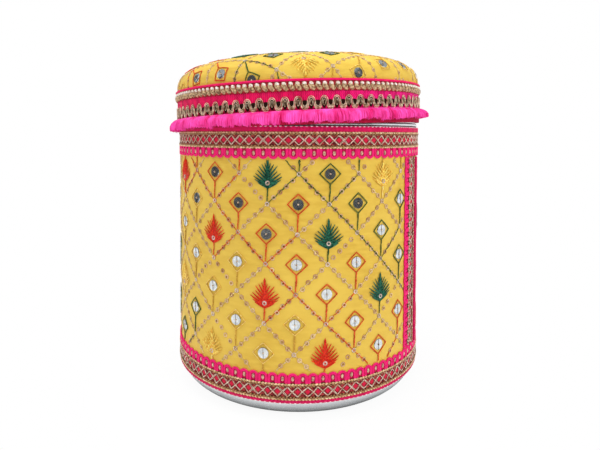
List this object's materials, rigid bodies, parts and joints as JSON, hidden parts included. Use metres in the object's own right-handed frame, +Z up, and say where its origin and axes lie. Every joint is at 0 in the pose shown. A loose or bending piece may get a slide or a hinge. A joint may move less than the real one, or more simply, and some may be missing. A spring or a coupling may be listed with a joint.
{
  "type": "covered canister",
  "caption": "Round metal canister wrapped in embroidered cloth with lace bands, and a padded lift-off lid trimmed with braid, loop lace and a brush fringe.",
  "frame": {"origin": "middle of the base, on the surface that the can stands on", "axes": "+Z up along the can, front towards -Y, the seam lace right of the front towards +X"},
  "size_m": [0.1752, 0.1754, 0.2086],
  "materials": {
    "aluminium": "bright drawn sheet",
    "yellow_cloth": "silky plain-weave cloth with sequin and thread embroidery",
    "mirror_foil": "bright foil discs",
    "foam": "soft upholstery foam",
    "pink_braid": "hot-pink woven braid",
    "crimson_tape": "crimson woven tape",
    "gold_thread": "antique-gold metallised thread",
    "pink_fringe": "cut silky fringe"
  },
  "bodies": {
    "can": {"can_shell": "aluminium", "body_wrap": "yellow_cloth", "wrap_mirrors": "mirror_foil", "rim_lace_tape": "crimson_tape", "rim_lace_piping": "pink_braid", "rim_lace_cords": "gold_thread", "rim_lace_lattice": "gold_thread", "rim_lace_loops": "pink_braid", "base_lace_tape": "crimson_tape", "base_lace_piping": "pink_braid", "base_lace_cords": "gold_thread", "base_lace_lattice": "gold_thread", "base_lace_loops": "pink_braid", "seam_lace_tape": "crimson_tape", "seam_lace_piping": "pink_braid", "seam_lace_cords": "gold_thread", "seam_lace_lattice": "gold_thread", "seam_lace_loops": "pink_braid"},
    "lid": {"lid_shell": "aluminium", "lid_pad": "foam", "lid_cover": "yellow_cloth", "lid_mirrors": "mirror_foil", "lid_piping": "pink_braid", "lid_rope": "gold_thread", "lid_ribbon": "pink_braid", "lid_loop_lace": "gold_thread", "fringe_tape": "crimson_tape", "lid_fringe": "pink_fringe"}
  },
  "joints": [
    {"name": "lid_lift", "type": "slide", "parent": "can", "child": "lid", "axis": [0, 0, 1], "range_m": [0, 0.12]}
  ]
}
